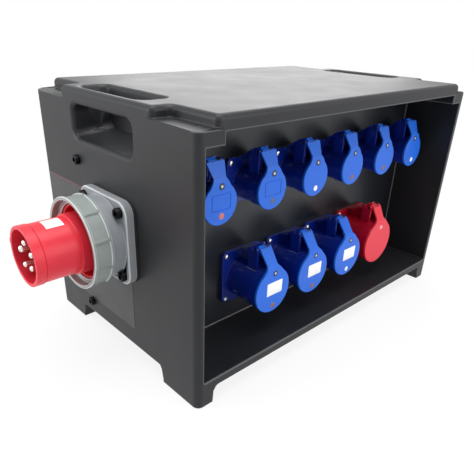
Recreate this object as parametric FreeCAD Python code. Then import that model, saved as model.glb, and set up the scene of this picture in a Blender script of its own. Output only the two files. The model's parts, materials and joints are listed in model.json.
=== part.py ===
import FreeCAD, Part
import math
import os

# Portable power distribution box: a moulded sleeve with a recess at each end of its depth,
# sockets with sprung lids in the front recess, a pin inlet on the left side and the
# protective devices behind a clear window in the rear recess.
# Millimetres. +Z up, front towards -Y, origin on the ground under the middle of the case.

Vector = FreeCAD.Vector
along_x = Vector(1, 0, 0)
along_y = Vector(0, 1, 0)
along_z = Vector(0, 0, 1)
origin = Vector(0, 0, 0)

# How near counts as the same place when edges are picked out
same_place = 0.01

# Case
case_width = 600.0
case_depth = 374.0
notch_floor_height = 359.5
platform_rise = 14.0
wall = 12.0
floor_thickness = 12.0
roof_thickness = 18.5
foot_height = 27.5
foot_width = 26.0
foot_length = 74.0
foot_draft = 4.0
foot_root_radius = 8.0
foot_sole_radius = 4.0
stacking_clearance = 1.0
upright_radius = 10.0
notch_radius = 8.0
platform_radius = 7.0
recess_radius = 3.0

# Carrying handles, one in each end
grip_width = 15.0
grip_height = 22.0
grip_radius = 7.0
hand_gap = 41.0
handle_shift = 7.0
handle_margin = 4.0
pocket_height = 45.0
pocket_draft = 9.0
pocket_inset = 2.0
scoop_radius = 12.0
pocket_wall = 6.0

# Panels
front_recess_depth = 98.0
rear_recess_depth = 92.0
panel_clearance = 0.3
front_panel_thickness = 6.0
ledge_width = 10.0
ledge_depth = 12.0
rear_panel_thickness = 3.0
rear_flange_depth = 24.0
rear_flange_drop = 17.5
rear_flange_base = 3.5
side_screw_radius = 3.0
side_screw_head_radius = 7.0
side_screw_head_height = 6.0
side_screw_inset = 16.0
side_screw_end_margin = 5.5
screw_clearance = 0.2

# Sockets
row_end_margin = 21.0
upper_row_drop = 96.5
lower_row_rise = 72.0
socket_flange_thickness = 6.0
socket_flange_lift = 4.5
socket_flange_radius = 9.0
socket_gasket_thickness = 1.5
socket_screw_head_radius = 4.0
socket_screw_head_height = 2.6
socket_screw_inset = 6.5
barrel_wall = 2.5
barrel_step = 1.5
collar_length = 17.0
terminal_chamber_depth = 34.0
chamber_room = 4.0
chamber_corner_share = 0.2
chamber_clearance = 0.5
insert_setback = 10.0
insert_length = 30.0
insert_seat = 1.8
key_width = 6.0
key_depth = 1.8
lid_thickness = 4.0
lid_edge_radius = 1.2
lid_gap = 0.4
seal_height = 2.5
seal_inset = 3.6
lid_neck_width = 20.0
neck_thickness = 3.0
neck_root_share = 0.75
neck_root_inset = 0.5
neck_setback = 1.0
waist_rise = 5.0
hinge_pin_radius = 2.0
hinge_running_gap = 0.05
knuckle_radius = 5.0
knuckle_gap = 0.4
cheek_thickness = 4.0
cheek_radius = 4.0
cheek_lap = 6.0
tower_web = 9.0
tower_roof = 4.0
spring_length = 6.0
spring_radius = 4.0
spring_gap = 0.3
contact_block = 7.0
contact_length = 12.0
contact_hole_radius = 3.2
contact_margin = 7.2
wire_room = 16.0

# Inlet on the left end
inlet_y = -7.5
inlet_rise = 155.5
inlet_flange = 116.0
inlet_flange_thickness = 12.0
inlet_flange_radius = 18.0
inlet_gasket_thickness = 2.0
inlet_screw_spacing = 89.0
inlet_screw_radius = 3.0
inlet_screw_head_radius = 7.0
inlet_screw_head_height = 7.0
inlet_neck_radius = 55.0
inlet_neck_length = 20.0
inlet_back_radius = 46.0
inlet_back_depth = 30.0
ring_length = 27.0
ring_radius = 61.0
ring_wall = 7.0
ring_lip = 4.5
ring_gap = 0.4
ring_rib_count = 10
ring_rib_width = 3.0
ring_panel_depth = 1.8
ring_rim = 4.0
spigot_length = 18.0
spigot_wall = 3.0
shroud_radius = 37.5
shroud_wall = 3.5
shroud_reach = 123.5
shroud_collar_length = 12.5
shroud_collar_step = 1.0
shroud_base_thickness = 5.0
shroud_skirt_wall = 3.0
shroud_skirt_setback = 3.0
shroud_bead_radius = 40.0
shroud_bead_length = 8.0
shroud_key_width = 7.0
shroud_key_height = 3.0
inlet_key_turn = 103.0
inlet_seat_gap = 0.3
carrier_length = 36.0
phase_pin_radius = 4.0
earth_pin_radius = 5.0
pin_circle_radius = 17.0
pin_setback = 6.0
pin_seat_gap = 0.1
inlet_poles = 5

# Rear window and protective devices
device_rise = 180.0
module_width = 17.5
module_gap = 0.5
module_count = 17
device_height = 84.0
device_depth = 46.0
nose_height = 45.0
nose_reach = 14.0
nose_proud = 5.0
nose_clearance = 1.0
rail_height = 35.0
rail_depth = 7.5
rail_lip = 5.0
rail_thickness = 1.5
rail_overhang = 22.0
bracket_height = 30.0
bracket_foot = 16.0
bracket_thickness = 3.0
bracket_gap = 2.0
window_border = 20.0
window_frame_depth = 14.0
window_wall = 3.0
window_radius = 8.0
window_depth = 16.0
window_gap = 0.4
window_hinge_radius = 2.0
window_knuckle_radius = 5.0
window_knuckle_length = 26.0
window_ear = 6.0
window_hinge_spacing = 200.0
lever_width = 6.0
lever_hub_radius = 6.0
lever_reach = 8.0
lever_height = 7.0
lever_gap = 0.3
lever_proud = 1.0
lever_swing_room = 6.0
lever_slot_depth = 14.0
lever_rest_angle = 30.0
button_size = 7.0
button_proud = 2.5
button_depth = 8.0
button_gap = 0.3
button_drop = 14.0
rcd_module_count = 4
breaker_4p_module_count = 4
loom_y = -15.0
loom_rise = 115.0
loom_radius = 10.0
loom_branch_radius = 4.0
loom_branch_overrun = 8.0
loom_end_margin = 15.0

# Places that follow from the sizes
left_x = -case_width / 2
right_x = case_width / 2
front_y = -case_depth / 2
rear_y = case_depth / 2
top_z = notch_floor_height + platform_rise
floor_z = foot_height + floor_thickness
ceiling_z = top_z - roof_thickness
notch_width = foot_width + stacking_clearance
notch_length = foot_length + foot_draft + stacking_clearance
front_panel_y = front_y + front_recess_depth
front_panel_back_y = front_panel_y + front_panel_thickness
rear_panel_y = rear_y - rear_recess_depth
rear_panel_front_y = rear_panel_y - rear_panel_thickness
pocket_top_z = top_z - grip_height
pocket_floor_z = pocket_top_z - pocket_height
scoop_length = 2 * (rear_panel_front_y - handle_shift - pocket_wall - handle_margin)
pocket_length = scoop_length - 2 * pocket_inset
rear_flange_low = floor_z + rear_flange_base
rear_flange_high = pocket_floor_z - pocket_wall - rear_flange_drop
side_screw_y = rear_panel_front_y - side_screw_inset
side_screw_heights = (
    rear_flange_low + side_screw_end_margin,
    rear_flange_high - side_screw_end_margin,
)
neck_sweep = cheek_radius + knuckle_gap + neck_thickness
inlet_z = floor_z + inlet_rise
device_z = floor_z + device_rise
loom_z = floor_z + loom_rise
opening_half_height = nose_height / 2 + nose_clearance
window_half_height = opening_half_height + window_border
device_front_y = rear_panel_y + nose_proud
device_shoulder_y = device_front_y - nose_reach
rail_y = device_shoulder_y - device_depth
device_pitch = module_width + module_gap
device_row_width = module_count * device_pitch
opening_half_width = device_row_width / 2 + nose_clearance
window_half_width = opening_half_width + window_border
window_hinge_y = rear_panel_y + window_frame_depth
window_hinge_z = device_z + window_half_height + window_knuckle_radius + window_gap
lever_axis_y = device_front_y - lever_hub_radius + lever_proud
lever_tip_y = lever_axis_y + lever_hub_radius + lever_reach
flange_face = inlet_gasket_thickness + inlet_flange_thickness
neck_face = flange_face + inlet_neck_length
ring_front = neck_face + ring_gap + ring_length
ring_inner_radius = ring_radius - ring_wall
spigot_end = neck_face + spigot_length
spigot_radius = ring_inner_radius - ring_gap
spigot_inner_radius = spigot_radius - spigot_wall


class SocketKind:
    """Sizes of one rating of socket: the lid's radius and the place of its hinge set the rest."""

    def __init__(self, flange, lid_radius, reach, hinge_rise, hinge_back, neck_top, insert_radius, poles):
        self.flange_width, self.flange_height = flange
        self.lid_radius = lid_radius
        self.reach = reach
        self.hinge_rise = hinge_rise
        self.neck_top = neck_top
        self.insert_radius = insert_radius
        self.poles = poles
        self.flange_low = socket_flange_lift - self.flange_height / 2
        self.flange_high = socket_flange_lift + self.flange_height / 2
        self.collar_radius = lid_radius - barrel_step
        self.barrel_radius = self.collar_radius - barrel_step
        self.bore_radius = self.barrel_radius - barrel_wall
        self.mouth = reach - lid_thickness - lid_gap
        self.hinge_out = reach - hinge_back
        self.tower_width = lid_neck_width + 2 * (cheek_thickness + knuckle_gap)
        self.chamber = 2 * (insert_radius + chamber_room)
        self.contact_circle = insert_radius - contact_margin


blue_16 = SocketKind((74.0, 64.0), 27.0, 57.5, 48.5, 18.5, 28.0, 15.5, 3)
blue_32 = SocketKind((80.0, 84.0), 34.5, 72.0, 58.0, 26.0, 22.0, 22.0, 3)
red_32 = SocketKind((84.0, 86.0), 39.0, 72.0, 61.0, 20.0, 22.0, 26.0, 5)
upper_row = [blue_16] * 6
lower_row = [blue_32] * 3 + [red_32]
row_width = case_width - 2 * (wall + row_end_margin) - blue_16.flange_width
socket_pitch = row_width / (len(upper_row) - 1)
loom_end = row_width / 2 + loom_end_margin


def socket_row(kinds, height):
    """One row of sockets from left to right about the middle, each with its kind and place."""
    start = -(len(kinds) - 1) * socket_pitch / 2
    return [(kind, start + column * socket_pitch, height) for column, kind in enumerate(kinds)]


sockets = socket_row(upper_row, ceiling_z - upper_row_drop)
sockets += socket_row(lower_row, floor_z + lower_row_rise)


def block(x0, x1, y0, y1, z0, z1):
    """A box between two corners."""
    return Part.makeBox(x1 - x0, y1 - y0, z1 - z0, Vector(x0, y0, z0))


def rod(radius, start, direction, length):
    """A round bar from a point along a direction."""
    return Part.makeCylinder(radius, length, start, direction)


def tube(outer, inner, start, direction, length):
    """A round bar with a hole right through it."""
    return rod(outer, start, direction, length).cut(rod(inner, start, direction, length))


def prism(points, along):
    """A flat outline of corner points, drawn out along a vector."""
    return Part.Face(Part.makePolygon(points + points[:1])).extrude(along)


def edges_along(shape, axis):
    """The straight edges of a shape that run along an axis."""
    found = []
    for edge in shape.Edges:
        if edge.Curve.TypeId == "Part::GeomLine" and edge.Curve.Direction.cross(axis).Length < same_place:
            found.append(edge)
    return found


def rounded_block(radius, axis, *corners):
    """A box whose four edges along an axis are rounded."""
    solid = block(*corners)
    return solid.makeFillet(radius, edges_along(solid, axis))


def rounded_wire(radius, points):
    """A closed outline in one plane with its corners rounded."""
    edges = []
    count = len(points)
    arcs = []
    for i, corner in enumerate(points):
        back = (points[i - 1] - corner).normalize()
        ahead = (points[(i + 1) % count] - corner).normalize()
        middle = corner + (back + ahead).normalize() * radius * (math.sqrt(2) - 1)
        arcs.append((corner + back * radius, middle, corner + ahead * radius))
    for i, (start, middle, end) in enumerate(arcs):
        edges.append(Part.Arc(start, middle, end).toShape())
        edges.append(Part.LineSegment(end, arcs[(i + 1) % count][0]).toShape())
    return Part.Wire(edges)


def both_ends(make):
    """A piece made for the left end, with its mirror image at the right end."""
    left = make()
    return [left, left.mirror(origin, along_x)]


def four_corners(x, y, z, make):
    """A piece made for the front left corner, repeated in mirror image at all four corners."""
    first = make(x, y, z)
    pair = [first, first.mirror(origin, along_y)]
    return pair + [piece.mirror(origin, along_x) for piece in pair]


def foot(x, y, z):
    """One foot: upright outside, drafted on its two inner sides."""

    def outline(level, grow):
        far_x = x + foot_width + grow
        far_y = y + foot_length + grow
        places = [(x, y), (far_x, y), (far_x, far_y), (x, far_y), (x, y)]
        return Part.makePolygon([Vector(px, py, level) for px, py in places])

    return Part.makeLoft([outline(z, 0), outline(z + foot_height, foot_draft)], True, True)


def flat_edges(shape, z):
    """The edges of a shape that lie at one height."""
    found = []
    for edge in shape.Edges:
        box = edge.BoundBox
        if abs(box.ZMin - z) < same_place and box.ZLength < same_place:
            found.append(edge)
    return found


def round_feet(body):
    """Rounds the feet where they meet the underside and round their soles."""
    roots = []
    for edge in flat_edges(body, foot_height):
        middle = edge.CenterOfMass
        if abs(middle.x) < right_x - same_place and abs(middle.y) < rear_y - same_place:
            roots.append(edge)
    body = body.makeFillet(foot_root_radius, roots)
    return body.makeFillet(foot_sole_radius, flat_edges(body, 0))


def notch(x, y, z):
    """The room for one foot of the box stacked above."""
    return block(x, x + notch_width, y, y + notch_length, z, z + platform_rise)


def case_outside():
    """The case as a full block: feet below, stacking notches above, edges rounded."""
    body = block(left_x, right_x, front_y, rear_y, foot_height, top_z)
    body = body.fuse(four_corners(left_x, front_y, 0, foot)).removeSplitter()
    body = body.makeFillet(upright_radius, edges_along(body, along_z))
    body = round_feet(body)
    body = body.cut(four_corners(left_x, front_y, notch_floor_height, notch))
    lowest = notch_floor_height - same_place
    notch_edges = [e for e in edges_along(body, along_z) if e.BoundBox.ZMin > lowest]
    body = body.makeFillet(notch_radius, notch_edges)
    return body.makeFillet(platform_radius, flat_edges(body, top_z))


def notch_backing(x, y, z):
    """The material under a notch, which shows as a lower block in the recess corner."""
    return block(x, x + notch_width + wall, y, y + notch_length + wall, z - roof_thickness, z)


def pocket_housing():
    """The left handle's inner wall, which keeps the compartment closed."""
    depth = grip_width + hand_gap + pocket_wall
    half = scoop_length / 2 + pocket_wall
    low = pocket_floor_z - pocket_wall
    return block(left_x, left_x + depth, handle_shift - half, handle_shift + half, low, ceiling_z + wall)


def case_inside():
    """The room inside the sleeve: two open recesses and the compartment between them."""

    def tunnel(margin, y0, y1):
        inset = wall + margin
        corners = (left_x + inset, right_x - inset, y0, y1, floor_z + margin, ceiling_z - margin)
        return rounded_block(recess_radius, along_y, *corners)

    ledge_back_y = front_panel_back_y + ledge_depth
    room = tunnel(0, front_y, front_panel_back_y)
    throat = tunnel(ledge_width, front_panel_back_y, ledge_back_y)
    room = room.fuse([throat, tunnel(0, ledge_back_y, rear_y)])
    backing = four_corners(left_x, front_y, notch_floor_height, notch_backing)
    return room.cut(backing + both_ends(pocket_housing))


def handle_opening():
    """The left handle's way through: a drafted side pocket and a scoop in the top behind the grip."""
    half = pocket_length / 2
    inner_x = left_x + grip_width + hand_gap

    def side_outline(x, grow):
        low = pocket_floor_z - grow
        side = half + grow
        corners = [(-side, low), (side, low), (side, pocket_top_z), (-side, pocket_top_z)]
        return rounded_wire(scoop_radius, [Vector(x, handle_shift + y, z) for y, z in corners])

    def top_outline(z, grow):
        near_x = left_x + grip_width
        far_x = inner_x + grow
        side = scoop_length / 2 + grow
        corners = [(near_x, -side), (far_x, -side), (far_x, side), (near_x, side)]
        return rounded_wire(scoop_radius, [Vector(x, handle_shift + y, z) for x, y in corners])

    pocket = Part.makeLoft([side_outline(left_x, 0), side_outline(inner_x, -pocket_draft)], True, True)
    scoop_floor = pocket_floor_z + pocket_draft
    scoop = Part.makeLoft([top_outline(top_z, 0), top_outline(scoop_floor, -pocket_draft)], True, True)
    return pocket.fuse(scoop)


def round_grips(case):
    """Rounds the grip bars where a hand goes round them, and the mouths of the side pockets."""
    inner_x = right_x - grip_width
    edges = []
    for edge in case.Edges:
        box = edge.BoundBox
        at_pocket = box.ZMin > pocket_floor_z - same_place and box.ZMax < pocket_top_z + same_place
        mouth = box.XLength < same_place and abs(abs(box.XMin) - right_x) < same_place and at_pocket
        inner = abs(abs(box.XMin) - inner_x) < same_place and box.ZMin > pocket_top_z - same_place
        if mouth or (inner and box.YLength > pocket_length / 2):
            edges.append(edge)
    return case.makeFillet(grip_radius, edges)


def case_shell():
    case = case_outside().cut(case_inside())
    case = case.cut(both_ends(handle_opening))
    case = round_grips(case)
    holes = [rod(inlet_back_radius + panel_clearance, inlet_out(0), along_x, wall)]
    for start in inlet_screw_places(left_x):
        holes.append(rod(inlet_screw_radius + screw_clearance, start, along_x, wall))
    for height in side_screw_heights:
        start = Vector(left_x, side_screw_y, height)
        holes.append(rod(side_screw_radius + screw_clearance, start, along_x, case_width))
    return case.cut(holes)


def panel_plate(y0, y1):
    """A plate that fills the sleeve with a small gap all round."""
    gap = panel_clearance
    corners = (left_x + wall + gap, right_x - wall - gap, y0, y1, floor_z + gap, ceiling_z - gap)
    return rounded_block(recess_radius, along_y, *corners)


def chamber_outline(size, y):
    """The square with cut corners of a socket's terminal chamber, about the panel's origin."""
    half = size / 2
    cut = size * chamber_corner_share
    signs = ((1, 1), (-1, 1), (-1, -1), (1, -1))
    points = []
    for sx, sz in signs:
        pair = [Vector(sx * half, y, sz * (half - cut)), Vector(sx * (half - cut), y, sz * half)]
        points += pair if sx * sz > 0 else pair[::-1]
    return points


def front_panel():
    panel = panel_plate(front_panel_y, front_panel_back_y)
    holes = []
    for kind, x, z in sockets:
        outline = chamber_outline(kind.chamber + 2 * chamber_clearance, front_panel_y)
        hole = prism(outline, along_y * front_panel_thickness)
        holes.append(hole.translate(Vector(x, 0, z)))
    return panel.cut(holes)


def rear_panel():
    """A folded sheet: the plate, and a flange at each end that the side screws hold."""
    panel = panel_plate(rear_panel_front_y, rear_panel_y)
    flange_x = left_x + wall + panel_clearance

    def flange():
        far_x = flange_x + rear_panel_thickness
        y0 = rear_panel_front_y - rear_flange_depth
        return block(flange_x, far_x, y0, rear_panel_front_y, rear_flange_low, rear_flange_high)

    panel = panel.fuse(both_ends(flange))
    holes = [window_opening(rear_panel_front_y, rear_panel_y)]
    for height in side_screw_heights:
        start = Vector(left_x, side_screw_y, height)
        holes.append(rod(side_screw_radius + screw_clearance, start, along_x, case_width))
    return panel.cut(holes)


def cap_screw(radius, head_radius, head_height, seat, inward, length):
    """A socket cap screw whose head sits on a face."""
    shank = rod(radius, seat, inward, length)
    head = rod(head_radius, seat - inward * head_height, inward, head_height)
    return head.fuse(shank).removeSplitter()


def side_screws():
    length = wall + panel_clearance + rear_panel_thickness
    screws = []
    for height in side_screw_heights:
        for x, inward in ((left_x, along_x), (right_x, -along_x)):
            seat = Vector(x, side_screw_y, height)
            head = (side_screw_head_radius, side_screw_head_height)
            screws.append(cap_screw(side_screw_radius, *head, seat, inward, length))
    return Part.makeCompound(screws)


def socket_place(out):
    """The y of a point that stands out from the front panel."""
    return front_panel_y - out


def hinge_tower(kind):
    """The socket's hinge carrier: two cheeks, joined to the flange by a thin web under a sloping roof."""
    flange_y = socket_place(socket_gasket_thickness + socket_flange_thickness)
    hinge_y = socket_place(kind.hinge_out)
    web_y = hinge_y + neck_sweep + knuckle_gap
    half = kind.tower_width / 2
    pieces = []
    for x in (-half, half - cheek_thickness):
        sides = (hinge_y - cheek_radius, web_y + cheek_lap, 0, kind.hinge_rise)
        cheek = block(x, x + cheek_thickness, *sides)
        top = rod(cheek_radius, Vector(x, hinge_y, kind.hinge_rise), along_x, cheek_thickness)
        pieces.append(cheek.fuse(top).removeSplitter())

    def sloping(width, depth):
        """A piece under the line from the flange's top to the hinge, with its depth at each end."""
        ends = ((flange_y, kind.flange_high, depth[0]), (web_y, kind.hinge_rise + cheek_radius, depth[1]))
        upper = [Vector(-width / 2, y, z) for y, z, _ in ends]
        lower = [Vector(-width / 2, y, z - drop) for y, z, drop in ends]
        return prism(upper + lower[::-1], along_x * width)

    pieces.append(sloping(kind.tower_width, (tower_roof, tower_roof)))
    full = (kind.flange_high, kind.hinge_rise + cheek_radius)
    return sloping(tower_web, full).fuse(pieces)


def flange_plate(kind, y0, y1):
    """The outline of a socket's flange, which reaches higher above the socket's axis than below it."""
    half = kind.flange_width / 2
    corners = (-half, half, y0, y1, kind.flange_low, kind.flange_high)
    return rounded_block(socket_flange_radius, along_y, *corners)


def socket_body(kind):
    """One socket moulding about its own axis: flange, barrel, collar, chamber and hinge tower."""
    seat_y = socket_place(socket_gasket_thickness)
    face_y = seat_y - socket_flange_thickness
    ahead = -along_y
    flange = flange_plate(kind, face_y, seat_y)
    barrel = rod(kind.barrel_radius, Vector(0, face_y, 0), ahead, kind.mouth + face_y - front_panel_y)
    collar_y = socket_place(kind.mouth - collar_length)
    collar = rod(kind.collar_radius, Vector(0, collar_y, 0), ahead, collar_length)
    chamber = prism(chamber_outline(kind.chamber, seat_y), along_y * terminal_chamber_depth)
    body = flange.fuse([barrel, collar, chamber, hinge_tower(kind)]).removeSplitter()
    mouth_y = socket_place(kind.mouth)
    floor_y = mouth_y + insert_setback + insert_length
    cuts = [rod(kind.bore_radius, Vector(0, floor_y, 0), ahead, floor_y - mouth_y)]
    key_z = kind.bore_radius + key_depth
    cuts.append(block(-key_width / 2, key_width / 2, mouth_y, floor_y, -key_z, 0))
    pin = Vector(-kind.tower_width, socket_place(kind.hinge_out), kind.hinge_rise)
    cuts.append(rod(hinge_pin_radius + hinge_running_gap, pin, along_x, 2 * kind.tower_width))
    room_radius = kind.insert_radius - insert_seat
    cuts.append(rod(room_radius, Vector(0, floor_y, 0), along_y, contact_length + wire_room))
    return body.cut(cuts)


def contact_places(kind):
    """Where a socket's contacts lie in the insert, the earth contact at the bottom."""
    places = []
    for pole in range(kind.poles):
        turn = 2 * math.pi * pole / kind.poles
        places.append(Vector(math.sin(turn), 0, -math.cos(turn)) * kind.contact_circle)
    return places


def lid_neck(kind):
    """The lid's neck: it leaves the disc in one plane and leans back in front of the hinge's cheeks."""
    back_y = socket_place(kind.reach - lid_thickness)
    face_y = socket_place(kind.reach)
    hinge_y = socket_place(kind.hinge_out)
    back = hinge_y - face_y
    rise = kind.hinge_rise - kind.lid_radius
    lean = math.atan2(back, rise) - math.asin(neck_sweep / math.hypot(back, rise))
    up = Vector(0, math.sin(lean), math.cos(lean))
    outward = Vector(0, -math.cos(lean), math.sin(lean))
    end = Vector(0, hinge_y, kind.hinge_rise) + outward * neck_sweep - up * neck_setback
    inner_end = end - outward * neck_thickness
    inner_start = inner_end + up * ((back_y - inner_end.y) / up.y)
    foot_z = kind.lid_radius * neck_root_share
    profile = [
        Vector(0, back_y, foot_z),
        Vector(0, face_y, foot_z),
        Vector(0, face_y, kind.lid_radius),
        end,
        inner_end,
        inner_start,
    ]
    width = 2 * kind.lid_radius
    slab = prism([point - along_x * width / 2 for point in profile], along_x * width)
    root = math.sqrt(kind.lid_radius ** 2 - foot_z ** 2) - neck_root_inset
    right_side = [
        (root, foot_z),
        (lid_neck_width / 2, kind.lid_radius + waist_rise),
        (kind.neck_top / 2, kind.hinge_rise),
        (kind.neck_top / 2, kind.hinge_rise + neck_sweep),
    ]
    corners = right_side + [(-x, z) for x, z in right_side[::-1]]
    outline = prism([Vector(x, front_panel_y, z) for x, z in corners], -along_y * 2 * kind.reach)
    return slab.common(outline)


def lid(kind):
    """One sprung lid about the socket's axis: a thin disc with rounded edge, a neck and a hinge knuckle."""
    back_y = socket_place(kind.reach - lid_thickness)
    face_y = socket_place(kind.reach)
    disc = rod(kind.lid_radius, Vector(0, back_y, 0), -along_y, lid_thickness)
    rim = [e for e in disc.Edges if e.BoundBox.YMax < face_y + same_place]
    disc = disc.makeFillet(lid_edge_radius, rim)
    knuckle_length = lid_neck_width - spring_length - knuckle_gap
    start = Vector(-lid_neck_width / 2, socket_place(kind.hinge_out), kind.hinge_rise)
    knuckle = rod(knuckle_radius, start, along_x, knuckle_length)
    seal = rod(kind.bore_radius - seal_inset, Vector(0, back_y, 0), along_y, seal_height)
    whole = disc.fuse([lid_neck(kind), knuckle, seal]).removeSplitter()
    bore = rod(hinge_pin_radius + hinge_running_gap, start, along_x, knuckle_length)
    return whole.cut(bore)


def at_sockets(make):
    """One piece for each socket, set at its place on the panel."""
    return [make(kind).translate(Vector(x, 0, z)) for kind, x, z in sockets]


def hinge_pin(kind):
    start = Vector(-kind.tower_width / 2, socket_place(kind.hinge_out), kind.hinge_rise)
    return rod(hinge_pin_radius, start, along_x, kind.tower_width)


def lid_spring(kind):
    """The torsion spring's coil on the hinge pin, beside the knuckle."""
    start = Vector(lid_neck_width / 2 - spring_length, socket_place(kind.hinge_out), kind.hinge_rise)
    inner = hinge_pin_radius + spring_gap
    return tube(spring_radius, inner, start, along_x, spring_length)


def socket_insert(kind):
    """The contact carrier in the middle of a socket, with a hole for each pin."""
    face_y = socket_place(kind.mouth) + insert_setback
    middle = Vector(0, face_y, 0)
    insert = rod(kind.insert_radius, middle, along_y, insert_length)
    holes = []
    for place in contact_places(kind):
        holes.append(rod(contact_hole_radius, place + middle, along_y, insert_length))
    return insert.cut(holes)


def socket_contact(kind):
    """The brass contact blocks behind one insert."""
    back_y = socket_place(kind.mouth) + insert_setback + insert_length
    half = contact_block / 2
    blocks = []
    for place in contact_places(kind):
        x = place.x
        z = place.z
        blocks.append(block(x - half, x + half, back_y, back_y + contact_length, z - half, z + half))
    return Part.makeCompound(blocks)


def socket_gasket(kind):
    """The flat seal between a socket's flange and the panel."""
    sheet = flange_plate(kind, socket_place(socket_gasket_thickness), front_panel_y)
    outline = chamber_outline(kind.chamber + 2 * chamber_clearance, front_panel_y)
    return sheet.cut(prism(outline, -along_y * socket_gasket_thickness))


def socket_screw_set(kind):
    """The four screw heads on one flange."""
    reach = kind.flange_width / 2 - socket_screw_inset
    seat_y = socket_place(socket_gasket_thickness + socket_flange_thickness)
    heads = []
    for x in (-reach, reach):
        for z in (kind.flange_low + socket_screw_inset, kind.flange_high - socket_screw_inset):
            seat = Vector(x, seat_y, z)
            heads.append(rod(socket_screw_head_radius, seat, -along_y, socket_screw_head_height))
    return Part.makeCompound(heads)


def inlet_out(distance):
    """A point on the inlet's axis that stands out from the left wall."""
    return Vector(left_x - distance, inlet_y, inlet_z)


def inlet_screw_places(x):
    reach = inlet_screw_spacing / 2
    return [Vector(x, inlet_y + y, inlet_z + z) for y in (-reach, reach) for z in (-reach, reach)]


def revolved_on_inlet(profile):
    """A solid turned about the inlet's axis from corners given as distance out and radius."""
    points = [inlet_out(distance) + Vector(0, 0, radius) for distance, radius in profile]
    face = Part.Face(Part.makePolygon(points + points[:1]))
    return face.revolve(inlet_out(0), along_x, 360)


def square_on_inlet(size, radius, near, far):
    """A square plate with rounded corners about the inlet's axis."""
    half = size / 2
    sides = (inlet_y - half, inlet_y + half, inlet_z - half, inlet_z + half)
    return rounded_block(radius, along_x, left_x - far, left_x - near, *sides)


def inlet_gasket():
    sheet = square_on_inlet(inlet_flange, inlet_flange_radius, 0, inlet_gasket_thickness)
    holes = [rod(inlet_back_radius + panel_clearance, inlet_out(0), -along_x, inlet_gasket_thickness)]
    for start in inlet_screw_places(left_x):
        holes.append(rod(inlet_screw_radius + screw_clearance, start, -along_x, inlet_gasket_thickness))
    return sheet.cut(holes)


def inlet_housing():
    """The flange with its round neck, the spigot that the ring turns on and the chamber behind the wall."""
    flange = square_on_inlet(inlet_flange, inlet_flange_radius, inlet_gasket_thickness, flange_face)
    turned = revolved_on_inlet([
        (-inlet_back_depth, 0),
        (-inlet_back_depth, inlet_back_radius),
        (inlet_gasket_thickness, inlet_back_radius),
        (flange_face, inlet_neck_radius),
        (neck_face, inlet_neck_radius),
        (neck_face, spigot_radius),
        (spigot_end, spigot_radius),
        (spigot_end, 0),
    ])
    holes = [rod(spigot_inner_radius, inlet_out(flange_face), -along_x, spigot_end - flange_face)]
    for start in inlet_screw_places(left_x - inlet_gasket_thickness):
        holes.append(rod(inlet_screw_radius + screw_clearance, start, -along_x, inlet_flange_thickness))
    return flange.fuse(turned).cut(holes)


def inlet_ring():
    """The bayonet ring: a sleeve, wider inside at its mouth, with sunk panels between its grip ribs."""
    start = neck_face + ring_gap
    ring = revolved_on_inlet([
        (start, ring_inner_radius),
        (start, ring_radius),
        (ring_front, ring_radius),
        (ring_front, ring_radius - ring_lip),
        (spigot_end, ring_radius - ring_lip),
        (spigot_end, ring_inner_radius),
    ])
    band = revolved_on_inlet([
        (start + ring_rim, ring_radius - ring_panel_depth),
        (start + ring_rim, ring_radius + ring_panel_depth),
        (ring_front - ring_rim, ring_radius + ring_panel_depth),
        (ring_front - ring_rim, ring_radius - ring_panel_depth),
    ])
    ribs = []
    half = ring_rib_width / 2
    for i in range(ring_rib_count):
        sides = (inlet_y - half, inlet_y + half, inlet_z, inlet_z + 2 * ring_radius)
        rib = block(left_x - ring_front, left_x - start, *sides)
        ribs.append(rib.rotate(inlet_out(0), along_x, 360 * i / ring_rib_count))
    return ring.cut(band.cut(ribs))


def inlet_shroud():
    """The red moulding: a base plate in the housing and the long sleeve round the pins, with its key."""
    base = flange_face
    base_top = base + shroud_base_thickness
    base_radius = spigot_inner_radius - inlet_seat_gap
    skirt_end = spigot_end - shroud_skirt_setback
    skirt_inner = base_radius - shroud_skirt_wall
    bead_end = ring_front + shroud_bead_length / 2
    collar = shroud_radius + shroud_collar_step
    sleeve = revolved_on_inlet([
        (base, shroud_radius - shroud_wall),
        (base, base_radius),
        (skirt_end, base_radius),
        (skirt_end, skirt_inner),
        (base_top, skirt_inner),
        (base_top, shroud_bead_radius),
        (bead_end, shroud_bead_radius),
        (bead_end, shroud_radius),
        (shroud_reach - shroud_collar_length, shroud_radius),
        (shroud_reach - shroud_collar_length, collar),
        (shroud_reach, collar),
        (shroud_reach, shroud_radius - shroud_wall),
    ])
    half = shroud_key_width / 2
    bottom = inlet_z - shroud_radius
    sides = (inlet_y - half, inlet_y + half, bottom - shroud_key_height, bottom + shroud_wall / 2)
    key = block(left_x - shroud_reach, left_x - bead_end, *sides)
    return sleeve.fuse(key.rotate(inlet_out(0), along_x, inlet_key_turn))


def inlet_pin_places():
    """Where the pins stand, with each one's radius: the earth pin is the thick one, beside the key."""
    places = []
    for pole in range(inlet_poles):
        turn = math.radians(inlet_key_turn + 360 * pole / inlet_poles)
        offset = Vector(0, math.sin(turn), -math.cos(turn)) * pin_circle_radius
        places.append((offset, earth_pin_radius if pole == 0 else phase_pin_radius))
    return places


def inlet_carrier():
    """The round block in the shroud that holds the pins."""
    radius = shroud_radius - shroud_wall - inlet_seat_gap
    carrier = rod(radius, inlet_out(flange_face), -along_x, carrier_length)
    holes = []
    for offset, pin_radius in inlet_pin_places():
        holes.append(rod(pin_radius, inlet_out(flange_face) + offset, -along_x, carrier_length))
    return carrier.cut(holes)


def inlet_pins():
    length = shroud_reach - pin_setback - flange_face
    pins = []
    for offset, pin_radius in inlet_pin_places():
        pins.append(rod(pin_radius - pin_seat_gap, inlet_out(flange_face) + offset, -along_x, length))
    return Part.makeCompound(pins)


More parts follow.
